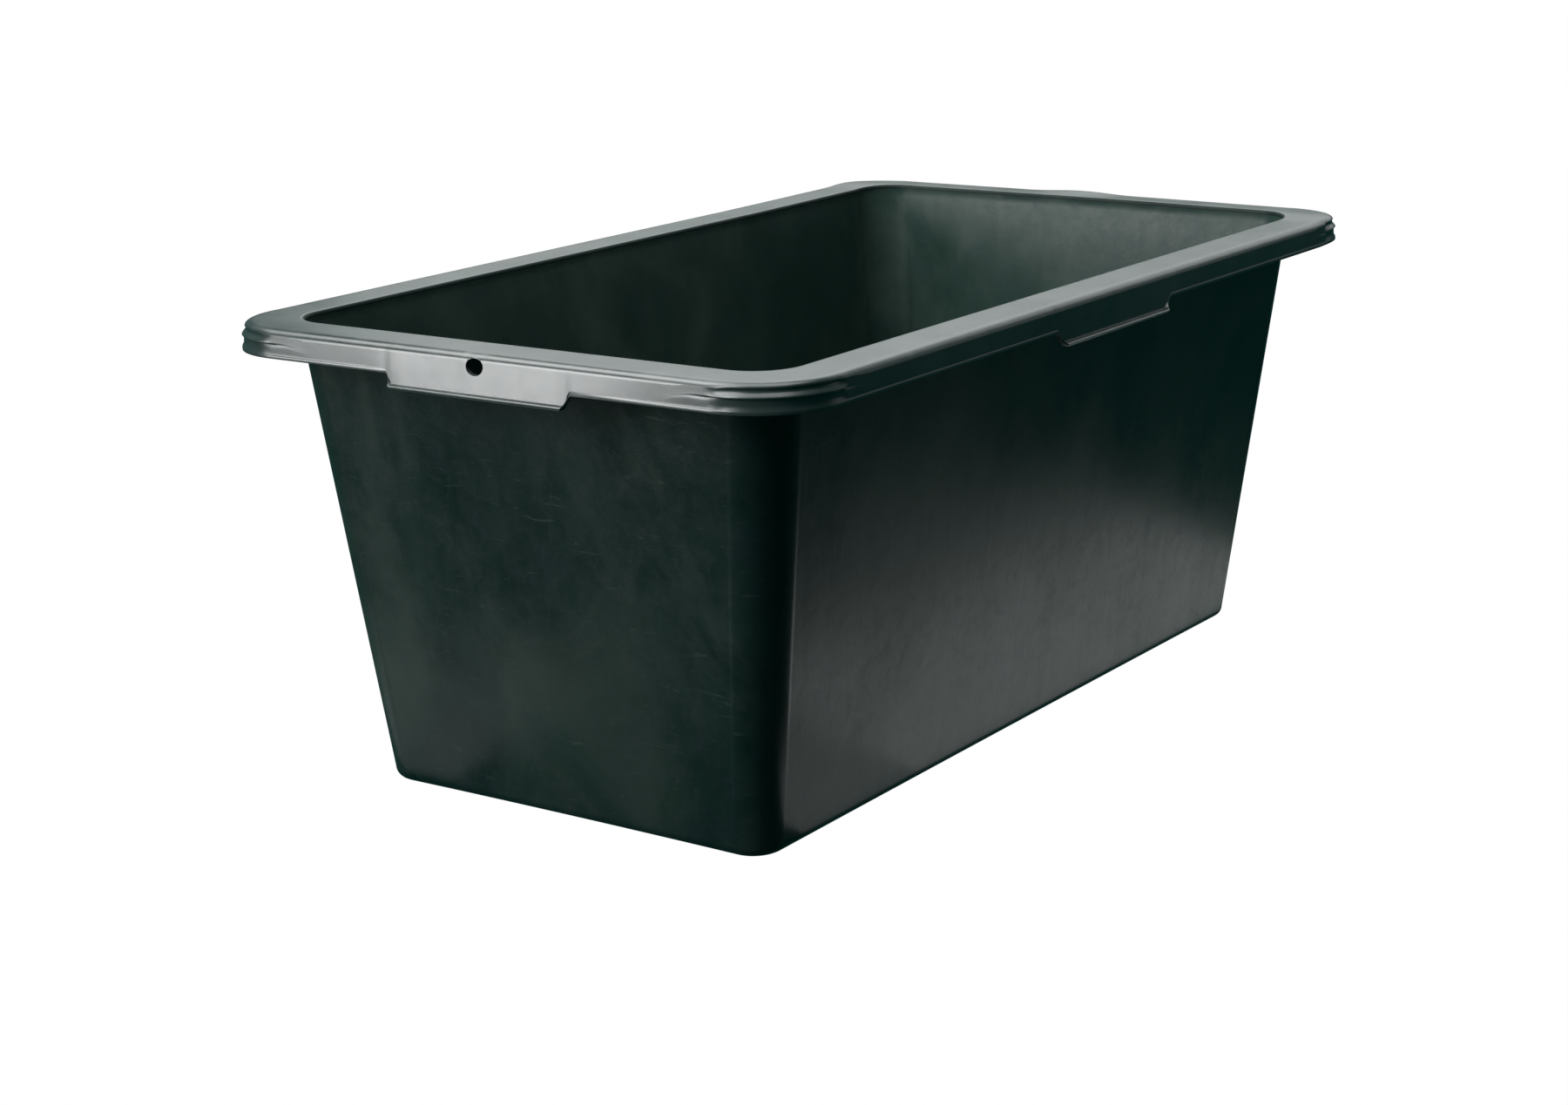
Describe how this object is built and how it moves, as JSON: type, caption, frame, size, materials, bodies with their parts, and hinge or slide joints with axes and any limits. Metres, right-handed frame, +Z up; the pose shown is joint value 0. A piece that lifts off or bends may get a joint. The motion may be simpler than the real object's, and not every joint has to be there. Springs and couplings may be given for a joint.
{
  "type": "mortar mixing tub",
  "caption": "Rectangular black plastic mortar tub with tapered walls, a wide flat rim, a down-turned skirt with grips, and a hanging hole in one end.",
  "frame": {"origin": "middle of the underside of the floor, where the tub stands", "axes": "+X along the tub's length, away from the end with the hanging hole; +Y across it; +Z up"},
  "size_m": [0.758, 0.443, 0.303],
  "materials": {
    "shell_plastic": "satin black recycled plastic",
    "rim_plastic": "satin black recycled plastic, smoother from handling",
    "gusset_plastic": "satin black recycled plastic"
  },
  "bodies": {
    "root": {"floor_panel": "shell_plastic", "grip_back": "rim_plastic", "grip_front": "rim_plastic", "grip_left": "rim_plastic", "grip_right": "rim_plastic", "gusset_back_1": "gusset_plastic", "gusset_back_2": "gusset_plastic", "gusset_back_3": "gusset_plastic", "gusset_back_4": "gusset_plastic", "gusset_back_5": "gusset_plastic", "gusset_back_6": "gusset_plastic", "gusset_front_1": "gusset_plastic", "gusset_front_2": "gusset_plastic", "gusset_front_3": "gusset_plastic", "gusset_front_4": "gusset_plastic", "gusset_front_5": "gusset_plastic", "gusset_front_6": "gusset_plastic", "gusset_left_1": "gusset_plastic", "gusset_left_2": "gusset_plastic", "gusset_right_1": "gusset_plastic", "gusset_right_2": "gusset_plastic", "rim_corner_left_back": "rim_plastic", "rim_corner_left_front": "rim_plastic", "rim_corner_right_back": "rim_plastic", "rim_corner_right_front": "rim_plastic", "rim_flange_back": "rim_plastic", "rim_flange_front": "rim_plastic", "rim_flange_left": "rim_plastic", "rim_flange_right": "rim_plastic", "skirt_back_by_left": "rim_plastic", "skirt_back_by_right": "rim_plastic", "skirt_corner_left_back": "rim_plastic", "skirt_corner_left_front": "rim_plastic", "skirt_corner_right_back": "rim_plastic", "skirt_corner_right_front": "rim_plastic", "skirt_front_by_left": "rim_plastic", "skirt_front_by_right": "rim_plastic", "skirt_left_by_back": "rim_plastic", "skirt_left_by_front": "rim_plastic", "skirt_right_by_back": "rim_plastic", "skirt_right_by_front": "rim_plastic", "wall_back": "shell_plastic", "wall_corner_left_back": "shell_plastic", "wall_corner_left_front": "shell_plastic", "wall_corner_right_back": "shell_plastic", "wall_corner_right_front": "shell_plastic", "wall_front": "shell_plastic", "wall_left": "shell_plastic", "wall_right": "shell_plastic"}
  },
  "joints": []
}
